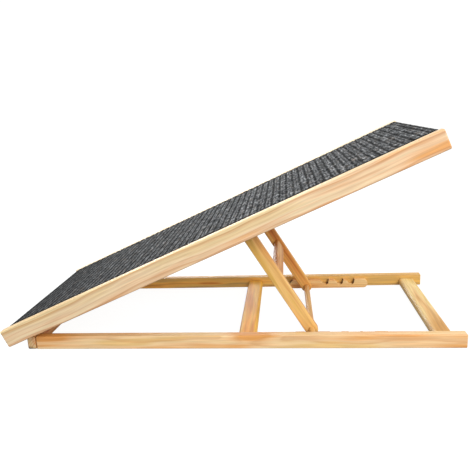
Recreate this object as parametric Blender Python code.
"""Folding pet ramp in pine: a carpeted ramp hinged to a floor frame, held up by
a folding prop whose foot dowel drops into one of four notches on each side.

Units are metres, +Z is up and the low end of the ramp points to -X. The origin
is on the floor, in the middle of the object's footprint. The ramp is shown at
its highest setting.
"""

import math

import bmesh
import bpy
from mathutils import Vector

# Floor frame
BASE_LENGTH = 0.945
BASE_RAIL_THICKNESS = 0.020
BASE_RAIL_HEIGHT = 0.030
SLAT_WIDTH = 0.040
SLAT_HEIGHT = 0.020
MIDDLE_SLAT_REACH = 0.490
HIGH_SLAT_INSET = 0.019

# Ramp
RAMP_LENGTH = 1.000
RAMP_WIDTH = 0.445
RAMP_RAIL_THICKNESS = 0.020
RAMP_RAIL_HEIGHT = 0.040
RAMP_ANGLE = math.radians(23.3)
DECK_THICKNESS = 0.005
DECK_GROOVE_DEPTH = 0.006
CARPET_THICKNESS = 0.004
CARPET_RECESS = 0.0005
CARPET_LOW_INSET = 0.010
CARPET_HIGH_INSET = 0.003
CARPET_LIP_THICKNESS = 0.003
CARPET_LIP_DROP = 0.025
RIB_PITCH = 0.0165
RIB_GROOVE_WIDTH = 0.0035
RIB_GROOVE_DEPTH = 0.0012
BATTEN_THICKNESS = 0.020
END_BATTEN_THICKNESS = 0.015
NOSE_BATTEN_HEIGHT = 0.018
LOWER_BATTEN_REACH = 0.290

# Low-end butt hinges
HINGE_OVERHANG = 0.036
HINGE_DROP = 0.0045
HINGE_SPACING = 0.260
LEAF_LENGTH = 0.050
LEAF_WIDTH = 0.015
LEAF_THICKNESS = 0.0014
KNUCKLES = 5
PIN_RADIUS = 0.0015
PIN_HEAD_OVERHANG = 0.0009
PIN_HEAD_LENGTH = 0.0010
CURL_SWEEP = math.radians(290)

# Prop
LEG_LENGTH = 0.278
LEG_WIDTH = 0.028
LEG_THICKNESS = 0.015
PIVOT_REACH = 0.5355
ROD_RADIUS = 0.005
ROD_SEAT_DEPTH = 0.012
SPACER_RADIUS = 0.009
DOWEL_RADIUS = 0.007
CROSS_BAR_WIDTH = 0.030
CROSS_BAR_THICKNESS = 0.015

# Notch strips
SETTINGS = 4
HEIGHT_STEP = 0.057
STRIP_THICKNESS = 0.015
STRIP_HEIGHT = 0.0235
STRIP_MARGIN = 0.0445
NOTCH_FLOOR = 0.010
WALL_DRAFT = math.radians(8)
SLOPE_ANGLE = math.radians(45)

# Edge roundings
RAMP_RAIL_EDGE = 0.003
BASE_RAIL_EDGE = 0.002
END_BAR_EDGE = 0.003
SLAT_EDGE = 0.006
CROSS_BAR_EDGE = 0.005
LEG_EDGE = 0.002
BATTEN_EDGE = 0.001
STRIP_EDGE = 0.001
TOOTH_EDGE = 0.0015
DOWEL_EDGE = 0.001

# Space left between pieces that touch, and play in the turning fits
GAP = 0.0003
RUNNING_CLEARANCE = 0.0003
PIN_CLEARANCE = 0.0001

# Space that the folding ramp and prop need round them
SIDE_CLEARANCE = 0.0025
FOLD_CLEARANCE = 0.0020
PROP_SIDE_CLEARANCE = 0.0200
LEG_TO_DECK = 0.0007
BATTEN_TO_PIVOT_END = 0.0225
BATTEN_TO_FOOT_END = 0.0315
DOWEL_END_CLEARANCE = 0.0025

# Facets
EDGE_SEGMENTS = 3
ROUND_SEGMENTS = 32
KNUCKLE_SEGMENTS = 20
SHARP_ANGLE = math.radians(35)

# Places that follow from the sizes above
KNUCKLE_BORE = PIN_RADIUS + PIN_CLEARANCE
KNUCKLE_RADIUS = KNUCKLE_BORE + LEAF_THICKNESS
HINGE_HEIGHT = BASE_RAIL_HEIGHT + GAP + KNUCKLE_RADIUS
FOOT_HEIGHT = NOTCH_FLOOR + GAP + DOWEL_RADIUS
RAMP_INNER = RAMP_WIDTH / 2 - RAMP_RAIL_THICKNESS
BASE_WIDTH = 2 * (RAMP_INNER - SIDE_CLEARANCE)
BASE_INNER = BASE_WIDTH / 2 - BASE_RAIL_THICKNESS
PROP_WIDTH = 2 * (BASE_INNER - STRIP_THICKNESS - PROP_SIDE_CLEARANCE)
LEG_INNER = PROP_WIDTH / 2 - LEG_THICKNESS
DECK_TOP = RAMP_RAIL_HEIGHT - CARPET_RECESS - CARPET_THICKNESS - GAP
DECK_BOTTOM = DECK_TOP - DECK_THICKNESS
DECK_LOW = CARPET_LOW_INSET + CARPET_LIP_THICKNESS + GAP
DECK_HIGH = RAMP_LENGTH - CARPET_HIGH_INSET - CARPET_LIP_THICKNESS - GAP
DECK_MIDDLE = (DECK_LOW + DECK_HIGH) / 2
PIVOT_RISE = DECK_BOTTOM - LEG_TO_DECK - LEG_WIDTH / 2
BATTEN_BOTTOM = HINGE_DROP + BASE_RAIL_HEIGHT - HINGE_HEIGHT + FOLD_CLEARANCE
PIVOT_END_REACH = HINGE_OVERHANG + PIVOT_REACH - LEG_WIDTH / 2
FOOT_END_REACH = PIVOT_END_REACH + LEG_WIDTH + LEG_LENGTH
MIDDLE_BATTEN_REACH = PIVOT_END_REACH - BATTEN_TO_PIVOT_END - BATTEN_THICKNESS / 2
UPPER_BATTEN_REACH = FOOT_END_REACH + BATTEN_TO_FOOT_END + BATTEN_THICKNESS / 2
SIDES = {"left": 1, "right": -1}


def low_end_reach(angle):
    """How far the ramp's rounded nose stands out beyond the hinge axis."""
    reach = HINGE_OVERHANG - RAMP_RAIL_EDGE
    rise = RAMP_RAIL_HEIGHT - HINGE_DROP - RAMP_RAIL_EDGE
    return reach * math.cos(angle) + rise * math.sin(angle) + RAMP_RAIL_EDGE


HINGE_X = (low_end_reach(RAMP_ANGLE) - BASE_LENGTH) / 2


def pivot_at(angle):
    """The prop's pivot, from the foot of the hinge axis, with the ramp at an angle."""
    rise = PIVOT_RISE - HINGE_DROP
    x = PIVOT_REACH * math.cos(angle) - rise * math.sin(angle)
    z = PIVOT_REACH * math.sin(angle) + rise * math.cos(angle)
    return x, HINGE_HEIGHT + z


def foot_at(angle):
    """Distance from the hinge to the foot dowel that holds the ramp at an angle."""
    x, z = pivot_at(angle)
    return x + math.sqrt(LEG_LENGTH**2 - (z - FOOT_HEIGHT) ** 2)


def setting_angle(step):
    """Each setting lowers the ramp's top end by the same height."""
    return math.asin(math.sin(RAMP_ANGLE) - step * HEIGHT_STEP / RAMP_LENGTH)


def leg_angle():
    """How far below the horizontal the legs point at the highest setting."""
    pivot_height = pivot_at(RAMP_ANGLE)[1]
    return math.asin((pivot_height - FOOT_HEIGHT) / LEG_LENGTH)


def material(name, colour, roughness, metallic=0.0):
    mat = bpy.data.materials.new(name)
    mat.use_nodes = True
    shader = mat.node_tree.nodes["Principled BSDF"]
    shader.inputs["Base Color"].default_value = (*colour, 1.0)
    shader.inputs["Roughness"].default_value = roughness
    shader.inputs["Metallic"].default_value = metallic
    return mat


def pale_pine():
    return material("pale_pine", (0.79, 0.56, 0.33), 0.50)


def warm_pine():
    return material("warm_pine", (0.72, 0.45, 0.20), 0.50)


def plywood():
    return material("plywood", (0.62, 0.44, 0.26), 0.60)


def grey_carpet():
    return material("grey_carpet", (0.055, 0.058, 0.062), 0.95)


def zinc_steel():
    return material("zinc_steel", (0.55, 0.55, 0.54), 0.35, 1.0)


def nylon():
    return material("nylon", (0.70, 0.68, 0.62), 0.45)


def empty(name, location, tilt=0.0, parent=None):
    """A guide frame whose X axis is tilted up by an angle about Y."""
    guide = bpy.data.objects.new(name, None)
    guide.empty_display_size = 0.05
    guide.location = location
    guide.rotation_euler = (0.0, -tilt, 0.0)
    guide.parent = parent
    bpy.context.collection.objects.link(guide)
    return guide


def new_object(name, bm, mat, parent, location=(0.0, 0.0, 0.0)):
    bmesh.ops.recalc_face_normals(bm, faces=bm.faces)
    mesh = bpy.data.meshes.new(name)
    bm.to_mesh(mesh)
    bm.free()
    mesh.shade_smooth()
    mesh.set_sharp_from_angle(angle=SHARP_ANGLE)
    mesh.materials.append(mat)
    obj = bpy.data.objects.new(name, mesh)
    obj.location = location
    obj.parent = parent
    bpy.context.collection.objects.link(obj)
    return obj


def bar(name, size, mat, parent, location, edge=BATTEN_EDGE):
    """A planed bar with rounded edges, centred on its place."""
    bm = bmesh.new()
    bmesh.ops.create_cube(bm, size=1.0)
    bmesh.ops.scale(bm, vec=Vector(size), verts=bm.verts)
    obj = new_object(name, bm, mat, parent, location)
    rounding = obj.modifiers.new("rounded_edges", "BEVEL")
    rounding.width = edge
    rounding.segments = EDGE_SEGMENTS
    rounding.limit_method = "ANGLE"
    return obj


def rounded_outline(corners):
    """Turn corners (x, z, radius) into an outline with an arc at each corner."""
    points = []
    count = len(corners)
    for index, (x, z, radius) in enumerate(corners):
        here = Vector((x, z))
        if radius == 0.0:
            points.append(here)
            continue
        before = (Vector(corners[index - 1][:2]) - here).normalized()
        after = (Vector(corners[(index + 1) % count][:2]) - here).normalized()
        half = before.angle(after) / 2
        middle = here + (before + after).normalized() * radius / math.sin(half)
        start = here + before * radius / math.tan(half) - middle
        turn = start.angle_signed(here + after * radius / math.tan(half) - middle)
        steps = max(2, round(ROUND_SEGMENTS * abs(turn) / math.tau))
        for step in range(steps + 1):
            angle = math.atan2(start.y, start.x) - turn * step / steps
            points.append(middle + Vector((math.cos(angle), math.sin(angle))) * radius)
    return points


def ease_rims(bm, edge):
    """Round the rims of the two end faces of a shape that runs along Y."""
    bmesh.ops.recalc_face_normals(bm, faces=bm.faces)
    rims = [e for e in bm.edges if abs(e.verts[0].co.y - e.verts[1].co.y) < GAP]
    bmesh.ops.bevel(bm, geom=rims, offset=edge, segments=2, profile=0.5, affect="EDGES")


def prism(outline, width, edge=0.0):
    """Extrude an outline in the XZ plane along Y, centred, with rounded rims."""
    bm = bmesh.new()
    verts = [bm.verts.new((x, -width / 2, z)) for x, z in outline]
    face = bm.faces.new(verts)
    moved = bmesh.ops.extrude_face_region(bm, geom=[face])["geom"]
    far = [part for part in moved if isinstance(part, bmesh.types.BMVert)]
    bmesh.ops.translate(bm, vec=(0.0, width, 0.0), verts=far)
    if edge:
        ease_rims(bm, edge)
    return bm


def rod(radius, length, edge=0.0):
    """A round rod along Y, centred, with eased ends."""
    bm = bmesh.new()
    bmesh.ops.create_cone(
        bm, cap_ends=True, segments=ROUND_SEGMENTS, radius1=radius, radius2=radius, depth=length
    )
    for vert in bm.verts:
        vert.co = Vector((vert.co.x, vert.co.z, -vert.co.y))
    if edge:
        ease_rims(bm, edge)
    return bm


def turned(bm, shape, segments):
    """Turn a shape of (radius, y) points round the Y axis. Returns the rings."""
    turns = [math.tau * step / segments for step in range(segments)]
    rings = [
        [bm.verts.new((radius * math.cos(turn), y, radius * math.sin(turn))) for turn in turns]
        for radius, y in shape
    ]
    for near, far in zip(rings, rings[1:]):
        for step in range(segments):
            after = (step + 1) % segments
            bm.faces.new((near[step], near[after], far[after], far[step]))
    return rings


def tube(outer, bore, length):
    """A plain sleeve along Y, centred."""
    bm = bmesh.new()
    half = length / 2
    rings = turned(bm, ((bore, -half), (outer, -half), (outer, half), (bore, half)), ROUND_SEGMENTS)
    for step in range(ROUND_SEGMENTS):
        after = (step + 1) % ROUND_SEGMENTS
        bm.faces.new((rings[3][step], rings[3][after], rings[0][after], rings[0][step]))
    return bm


def cut(target, cutter):
    """Take a cutter's shape out of a piece."""
    cutter.hide_render = True
    cutter.display_type = "WIRE"
    hole = target.modifiers.new(cutter.name, "BOOLEAN")
    hole.operation = "DIFFERENCE"
    hole.solver = "EXACT"
    hole.object = cutter


def along(reach):
    """A distance from the ramp's nose, as X in the frame of the hinge axis."""
    return reach - HINGE_OVERHANG


def above(rise):
    """A height over the ramp rails' underside, as Z in the frame of the hinge axis."""
    return rise - HINGE_DROP


def notch_corner(reach):
    """Where a notch's steep wall and gentle slope meet, so that both clear the dowel
    by the gap when the arc between them has the seat's radius."""
    seat = DOWEL_RADIUS + GAP
    wall = Vector((math.cos(WALL_DRAFT), -math.sin(WALL_DRAFT)))
    slope = Vector((-math.sin(SLOPE_ANGLE), -math.cos(SLOPE_ANGLE)))
    centre = Vector((reach, FOOT_HEIGHT))
    return centre + (wall + slope) * seat / (1 + wall.dot(slope)), seat


def strip_outline(feet):
    """A notch strip's side: round ends, and a saw tooth of seats for the foot dowel.
    Each seat has a steep wall on the high side, which takes the prop's thrust, and a
    gentle slope on the low side, up which the dowel slides."""
    low = feet[0] - STRIP_MARGIN
    high = feet[-1] + STRIP_MARGIN
    end = STRIP_HEIGHT / 2 - GAP
    corners = [(low, 0.0, end), (high, 0.0, end), (high, STRIP_HEIGHT, end)]
    for reach in reversed(feet):
        corner, seat = notch_corner(reach)
        rise = STRIP_HEIGHT - corner.y
        wall_top = corner.x + rise * math.tan(WALL_DRAFT)
        slope_top = corner.x - rise / math.tan(SLOPE_ANGLE)
        corners.append((wall_top, STRIP_HEIGHT, TOOTH_EDGE))
        corners.append((corner.x, corner.y, seat))
        corners.append((slope_top, STRIP_HEIGHT, TOOTH_EDGE))
    corners.append((low, STRIP_HEIGHT, end))
    return rounded_outline(corners)


def leg_outline():
    """A leg's side, from its pivot at the origin to its foot, with round ends."""
    half = LEG_WIDTH / 2
    end = half - GAP / 2
    low = -half
    high = LEG_LENGTH + half
    corners = [(low, -half, end), (high, -half, end), (high, half, end), (low, half, end)]
    return rounded_outline(corners)


def carpet_outline():
    """The carpet from the side: a cross-ribbed tread that turns down over both ends."""
    low = CARPET_LOW_INSET
    high = RAMP_LENGTH - CARPET_HIGH_INSET
    under = DECK_TOP + GAP
    top = under + CARPET_THICKNESS
    hem = top - CARPET_LIP_DROP
    lip = CARPET_LIP_THICKNESS
    corners = [
        (low + lip, hem, 0.0),
        (low + lip, under, 0.0),
        (high - lip, under, 0.0),
        (high - lip, hem, 0.0),
        (high, hem, lip / 3),
        (high, top, lip),
    ]
    ribs = int((high - low - 2 * lip) / RIB_PITCH)
    first = (low + high) / 2 - (ribs - 1) * RIB_PITCH / 2
    half = RIB_GROOVE_WIDTH / 2
    for index in reversed(range(ribs)):
        middle = first + index * RIB_PITCH
        corners.append((middle + half, top, 0.0))
        corners.append((middle, top - RIB_GROOVE_DEPTH, 0.0))
        corners.append((middle - half, top, 0.0))
    corners += [(low, top, lip), (low, hem, lip / 3)]
    outline = rounded_outline(corners)
    return [Vector((along(point.x), above(point.y))) for point in outline]


def curl_outline(side):
    """A hinge leaf's rolled knuckle round the pin, from the plate and back to it.
    side is -1 for a plate under the axis and 1 for one over it."""
    steps = round(KNUCKLE_SEGMENTS * CURL_SWEEP / math.tau)
    angles = [-math.pi / 2 - CURL_SWEEP * step / steps for step in range(steps + 1)]
    turns = [(math.cos(angle), -side * math.sin(angle)) for angle in angles]
    inner = [(KNUCKLE_BORE * x, KNUCKLE_BORE * z) for x, z in turns]
    outer = [(KNUCKLE_RADIUS * x, KNUCKLE_RADIUS * z) for x, z in reversed(turns)]
    return inner + outer


def hinge_leaf(side, first):
    """A butt hinge's leaf: a plate with rolled knuckles at every second place, from
    the first. The plate is a row of slices along Y, and every other slice, starting
    with the second, carries a knuckle."""
    near = KNUCKLE_RADIUS + GAP
    far = near + LEAF_WIDTH
    inside = side * KNUCKLE_BORE
    outside = side * KNUCKLE_RADIUS
    plate_outline = ((near, inside), (far, inside), (far, outside), (near, outside))
    pitch = LEAF_LENGTH / KNUCKLES
    places = [-LEAF_LENGTH / 2]
    for index in range(first, KNUCKLES, 2):
        low = index * pitch - LEAF_LENGTH / 2
        places += [low + GAP / 2, low + pitch - GAP / 2]
    places.append(LEAF_LENGTH / 2)

    bm = bmesh.new()
    plates = [[bm.verts.new((x, y, z)) for x, z in plate_outline] for y in places]
    curls = [[bm.verts.new((x, y, z)) for x, z in curl_outline(side)] for y in places[1:-1]]
    sections = [[plate[0], *curl, plate[3]] for plate, curl in zip(plates[1:-1], curls)]
    for plate, after in zip(plates, plates[1:]):
        for corner in range(3):
            bm.faces.new((plate[corner], plate[corner + 1], after[corner + 1], after[corner]))
    for plate, after in zip(plates[::2], plates[1::2]):
        bm.faces.new((plate[3], plate[0], after[0], after[3]))
    for section, after in zip(sections[::2], sections[1::2]):
        for point in range(len(section) - 1):
            bm.faces.new((section[point], section[point + 1], after[point + 1], after[point]))
    for cap in (plates[0], plates[-1], *sections):
        bm.faces.new(cap)
    return bm


def hinge_pin():
    """A headed pin: the shank through the knuckles, with a low head at each end."""
    shank = LEAF_LENGTH / 2 + GAP
    end = shank + PIN_HEAD_LENGTH
    head = PIN_RADIUS + PIN_HEAD_OVERHANG
    shape = ((head, -end), (head, -shank), (PIN_RADIUS, -shank))
    shape += tuple((radius, -y) for radius, y in reversed(shape))
    bm = bmesh.new()
    rings = turned(bm, shape, KNUCKLE_SEGMENTS)
    bm.faces.new(rings[0])
    bm.faces.new(rings[-1])
    return bm


def build_base(floor):
    """The floor frame: two rails, the end bar over their low ends, and two slats."""
    rail_length = BASE_LENGTH - BASE_RAIL_THICKNESS - GAP
    rail_middle = BASE_LENGTH - rail_length / 2
    rail_size = (rail_length, BASE_RAIL_THICKNESS, BASE_RAIL_HEIGHT)
    for name, side in SIDES.items():
        y = side * (BASE_WIDTH - BASE_RAIL_THICKNESS) / 2
        place = (rail_middle, y, BASE_RAIL_HEIGHT / 2)
        bar(f"base_rail_{name}", rail_size, pale_pine(), floor, place, BASE_RAIL_EDGE)

    end_size = (BASE_RAIL_THICKNESS, BASE_WIDTH, BASE_RAIL_HEIGHT)
    place = (BASE_RAIL_THICKNESS / 2, 0.0, BASE_RAIL_HEIGHT / 2)
    bar("base_end_bar", end_size, warm_pine(), floor, place, END_BAR_EDGE)

    slat_size = (SLAT_WIDTH, 2 * (BASE_INNER - GAP), SLAT_HEIGHT)
    high_slat = BASE_LENGTH - HIGH_SLAT_INSET - SLAT_WIDTH / 2
    for name, x in (("middle", MIDDLE_SLAT_REACH), ("high", high_slat)):
        place = (x, 0.0, SLAT_HEIGHT / 2)
        bar(f"base_slat_{name}", slat_size, warm_pine(), floor, place, SLAT_EDGE)


def build_notch_strips(floor):
    """The strips on the rails' inner faces that hold the foot dowel's ends."""
    feet = [foot_at(setting_angle(step)) for step in range(SETTINGS)]
    for name, side in SIDES.items():
        bm = prism(strip_outline(feet), STRIP_THICKNESS - GAP, STRIP_EDGE)
        y = side * (BASE_INNER - GAP - (STRIP_THICKNESS - GAP) / 2)
        new_object(f"notch_strip_{name}", bm, pale_pine(), floor, (0.0, y, 0.0))


def build_hinges(floor, ramp):
    """Two butt hinges that join the ramp to the end bar's upper outer edge."""
    for name, side in SIDES.items():
        y = side * HINGE_SPACING / 2
        on_floor = (0.0, y, HINGE_HEIGHT)
        new_object(f"hinge_base_leaf_{name}", hinge_leaf(-1, 0), zinc_steel(), floor, on_floor)
        new_object(f"hinge_pin_{name}", hinge_pin(), zinc_steel(), floor, on_floor)
        new_object(f"hinge_ramp_leaf_{name}", hinge_leaf(1, 1), zinc_steel(), ramp, (0.0, y, 0.0))


def build_ramp_rails(ramp):
    """The ramp's side rails, grooved for the deck and drilled for the pivot rod."""
    size = (RAMP_LENGTH, RAMP_RAIL_THICKNESS, RAMP_RAIL_HEIGHT)
    groove_length = DECK_HIGH - DECK_LOW + 2 * GAP
    groove_height = DECK_THICKNESS + 2 * GAP
    for name, side in SIDES.items():
        y = side * (RAMP_WIDTH - RAMP_RAIL_THICKNESS) / 2
        place = (along(RAMP_LENGTH / 2), y, above(RAMP_RAIL_HEIGHT / 2))
        rail = bar(f"ramp_rail_{name}", size, pale_pine(), ramp, place, RAMP_RAIL_EDGE)

        groove_size = (groove_length, 2 * DECK_GROOVE_DEPTH, groove_height)
        groove_height_at = above(DECK_BOTTOM + DECK_THICKNESS / 2)
        groove_place = (along(DECK_MIDDLE), side * RAMP_INNER, groove_height_at)
        bm = bmesh.new()
        bmesh.ops.create_cube(bm, size=1.0)
        bmesh.ops.scale(bm, vec=Vector(groove_size), verts=bm.verts)
        cut(rail, new_object(f"deck_groove_{name}", bm, pale_pine(), ramp, groove_place))

        bm = rod(ROD_RADIUS + GAP, 2 * ROD_SEAT_DEPTH)
        seat_place = (PIVOT_REACH, side * RAMP_INNER, above(PIVOT_RISE))
        cut(rail, new_object(f"rod_seat_{name}", bm, pale_pine(), ramp, seat_place))


def build_deck(ramp):
    """The plywood deck in its grooves, the battens under it, and the carpet on it."""
    deck_width = 2 * (RAMP_INNER + DECK_GROOVE_DEPTH - GAP)
    deck_size = (DECK_HIGH - DECK_LOW, deck_width, DECK_THICKNESS)
    deck_place = (along(DECK_MIDDLE), 0.0, above(DECK_BOTTOM + DECK_THICKNESS / 2))
    bar("deck_board", deck_size, plywood(), ramp, deck_place, BATTEN_EDGE / 2)

    inner_width = 2 * (RAMP_INNER - GAP)
    top = DECK_BOTTOM - GAP
    half_end = END_BATTEN_THICKNESS / 2
    hinge_reach = HINGE_OVERHANG + KNUCKLE_RADIUS + BATTEN_THICKNESS / 2
    hinge_plate_top = HINGE_DROP + KNUCKLE_RADIUS
    battens = {
        "nose_batten": (DECK_LOW + half_end, END_BATTEN_THICKNESS, top - NOSE_BATTEN_HEIGHT),
        "hinge_batten": (hinge_reach, BATTEN_THICKNESS, hinge_plate_top + GAP),
        "lower_batten": (LOWER_BATTEN_REACH, BATTEN_THICKNESS, BATTEN_BOTTOM),
        "middle_batten": (MIDDLE_BATTEN_REACH, BATTEN_THICKNESS, BATTEN_BOTTOM),
        "upper_batten": (UPPER_BATTEN_REACH, BATTEN_THICKNESS, BATTEN_BOTTOM),
        "top_batten": (DECK_HIGH - half_end, END_BATTEN_THICKNESS, BATTEN_BOTTOM),
    }
    for name, (reach, thickness, bottom) in battens.items():
        size = (thickness, inner_width, top - bottom)
        place = (along(reach), 0.0, above((top + bottom) / 2))
        bar(name, size, warm_pine(), ramp, place)

    bm = prism(carpet_outline(), inner_width - 2 * GAP)
    new_object("ramp_carpet", bm, grey_carpet(), ramp)


def build_pivot(ramp):
    """The steel rod that the legs turn on, and the sleeves that keep them centred."""
    length = 2 * (RAMP_INNER + ROD_SEAT_DEPTH - GAP)
    pivot = (PIVOT_REACH, 0.0, above(PIVOT_RISE))
    new_object("pivot_rod", rod(ROD_RADIUS, length, DOWEL_EDGE), zinc_steel(), ramp, pivot)
    sleeve = RAMP_INNER - PROP_WIDTH / 2 - 2 * GAP
    for name, side in SIDES.items():
        y = side * (RAMP_INNER + PROP_WIDTH / 2) / 2
        bm = tube(SPACER_RADIUS, ROD_RADIUS + GAP, sleeve)
        place = (pivot[0], y, pivot[2])
        new_object(f"pivot_sleeve_{name}", bm, nylon(), ramp, place)


def build_prop(prop):
    """The prop: two legs, the bar between them and the foot dowel through them."""
    for name, side in SIDES.items():
        y = side * (PROP_WIDTH - LEG_THICKNESS) / 2
        bm = prism(leg_outline(), LEG_THICKNESS, LEG_EDGE)
        leg = new_object(f"prop_leg_{name}", bm, warm_pine(), prop, (0.0, y, 0.0))
        pivot_hole = ("pivot_hole", 0.0, ROD_RADIUS + RUNNING_CLEARANCE)
        dowel_hole = ("dowel_hole", LEG_LENGTH, DOWEL_RADIUS + GAP)
        for kind, x, radius in (pivot_hole, dowel_hole):
            bm = rod(radius, 2 * LEG_THICKNESS)
            cut(leg, new_object(f"{kind}_{name}", bm, warm_pine(), prop, (x, y, 0.0)))

    size = (CROSS_BAR_WIDTH, 2 * (LEG_INNER - GAP), CROSS_BAR_THICKNESS)
    place = (LEG_LENGTH / 2, 0.0, 0.0)
    bar("prop_cross_bar", size, pale_pine(), prop, place, CROSS_BAR_EDGE)

    dowel_length = 2 * (BASE_INNER - DOWEL_END_CLEARANCE)
    bm = rod(DOWEL_RADIUS, dowel_length, DOWEL_EDGE)
    new_object("foot_dowel", bm, warm_pine(), prop, (LEG_LENGTH, 0.0, 0.0))


def build():
    for old in list(bpy.data.objects):
        bpy.data.objects.remove(old, do_unlink=True)

    floor = empty("floor_frame", (HINGE_X, 0.0, 0.0))
    ramp = empty("hinge_axis", (0.0, 0.0, HINGE_HEIGHT), RAMP_ANGLE, floor)
    pivot = (PIVOT_REACH, 0.0, above(PIVOT_RISE))
    prop = empty("prop_axis", pivot, -(leg_angle() + RAMP_ANGLE), ramp)

    build_base(floor)
    build_notch_strips(floor)
    build_hinges(floor, ramp)
    build_ramp_rails(ramp)
    build_deck(ramp)
    build_pivot(ramp)
    build_prop(prop)
    print(f"hinge axis x {HINGE_X:.5f} z {HINGE_HEIGHT:.5f}")
    pivot_x, pivot_z = pivot_at(RAMP_ANGLE)
    print(f"prop pivot x {HINGE_X + pivot_x:.5f} z {pivot_z:.5f}")
    print(f"prop folds by {math.degrees(leg_angle() + RAMP_ANGLE):.2f} degrees")
    for step in range(SETTINGS):
        angle = setting_angle(step)
        foot = HINGE_X + foot_at(angle)
        print(f"setting {step + 1}: ramp at {math.degrees(angle):.2f}, foot x {foot:.5f}")


build()
